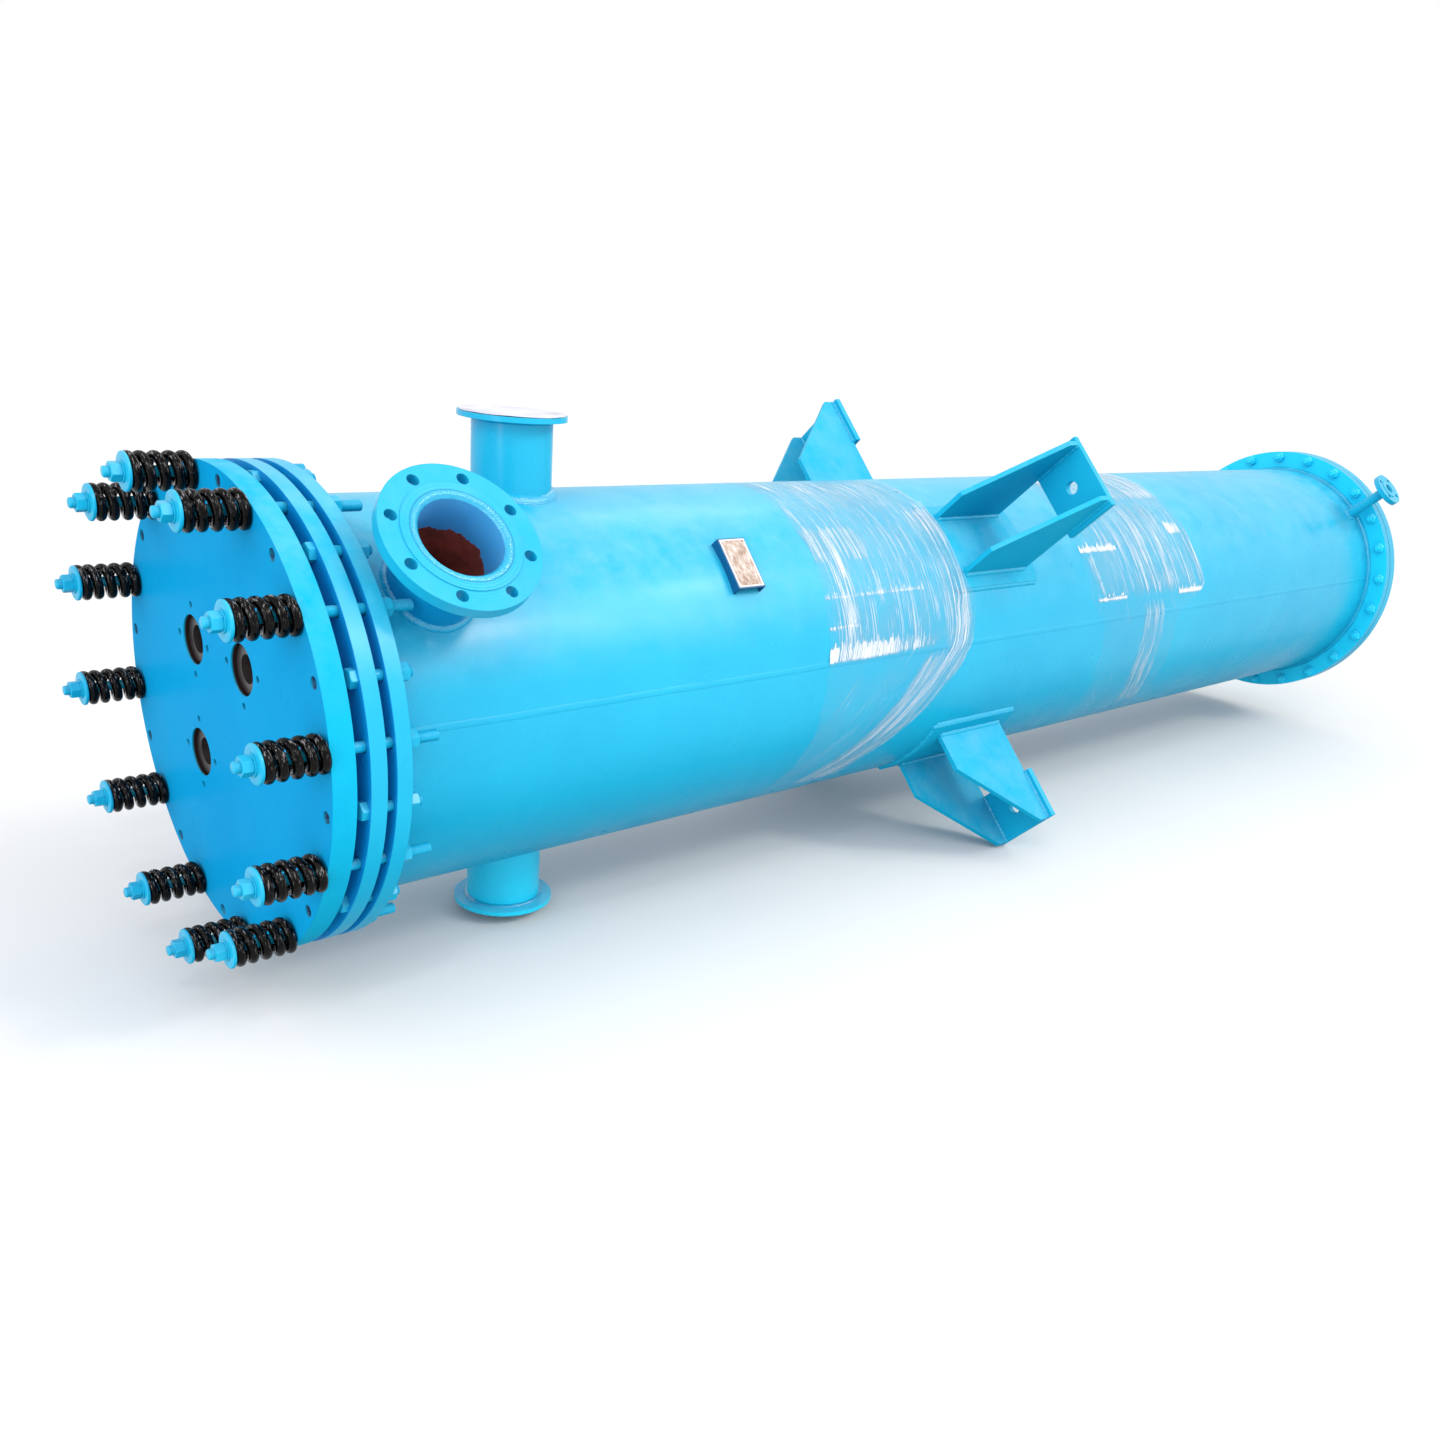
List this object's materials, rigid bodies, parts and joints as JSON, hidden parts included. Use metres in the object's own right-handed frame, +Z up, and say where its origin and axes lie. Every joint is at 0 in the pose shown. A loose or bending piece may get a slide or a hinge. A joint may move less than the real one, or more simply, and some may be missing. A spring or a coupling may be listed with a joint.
{
  "type": "graphite heat exchanger",
  "caption": "Horizontal view of a long blue graphite heat exchanger: steel shell, spring-loaded end plate, flanged nozzles, side lugs and a blind far cover.",
  "frame": {"origin": "on the floor under the middle of the vessel's length, on the vertical plane through its axis, in the lying pose of the picture", "axes": "+X along the vessel's axis from the sprung end plate to the far cover, +Y away from the side with the sloping nozzle, +Z up. In service the vessel stands upright on its lugs with the sprung end up"},
  "size_m": [4.2365, 1.079, 1.079],
  "materials": {
    "blue_paint": "glossy sprayed enamel",
    "black_enamel": "gloss black coated spring wire",
    "graphite": "machined impregnated graphite",
    "gasket_rubber": "matt sheet rubber",
    "cover_sheet": "dusty white cover sheet",
    "plate_metal": "stained blank plate",
    "red_primer": "red-brown primer"
  },
  "bodies": {
    "root": {"shell": "blue_paint", "front_flange": "blue_paint", "clamp_ring": "blue_paint", "end_plate": "blue_paint", "spring_studs": "blue_paint", "spring_caps": "blue_paint", "spring_nuts": "blue_paint", "stud_rear_nuts": "blue_paint", "clamp_bolts": "blue_paint", "clamp_bolt_nuts": "blue_paint", "far_flange": "blue_paint", "far_cover": "blue_paint", "far_bolts": "blue_paint", "far_bolt_nuts": "blue_paint", "inlet_pipe": "blue_paint", "inlet_flange": "blue_paint", "top_pipe": "blue_paint", "top_collar": "blue_paint", "bottom_pipe": "blue_paint", "bottom_collar": "blue_paint", "vent_pipe": "blue_paint", "vent_flange": "blue_paint", "lug_pads": "blue_paint", "lug_gussets": "blue_paint", "lug_bases": "blue_paint", "nameplate_bracket": "blue_paint", "spring_1": "black_enamel", "spring_2": "black_enamel", "spring_3": "black_enamel", "spring_4": "black_enamel", "spring_5": "black_enamel", "spring_6": "black_enamel", "spring_7": "black_enamel", "spring_8": "black_enamel", "spring_9": "black_enamel", "spring_10": "black_enamel", "spring_11": "black_enamel", "spring_12": "black_enamel", "header_block": "graphite", "port_sleeves": "graphite", "tube_sheet": "graphite", "far_gasket": "gasket_rubber", "top_cover": "cover_sheet", "nameplate": "plate_metal", "impingement_plate": "red_primer"}
  },
  "joints": []
}
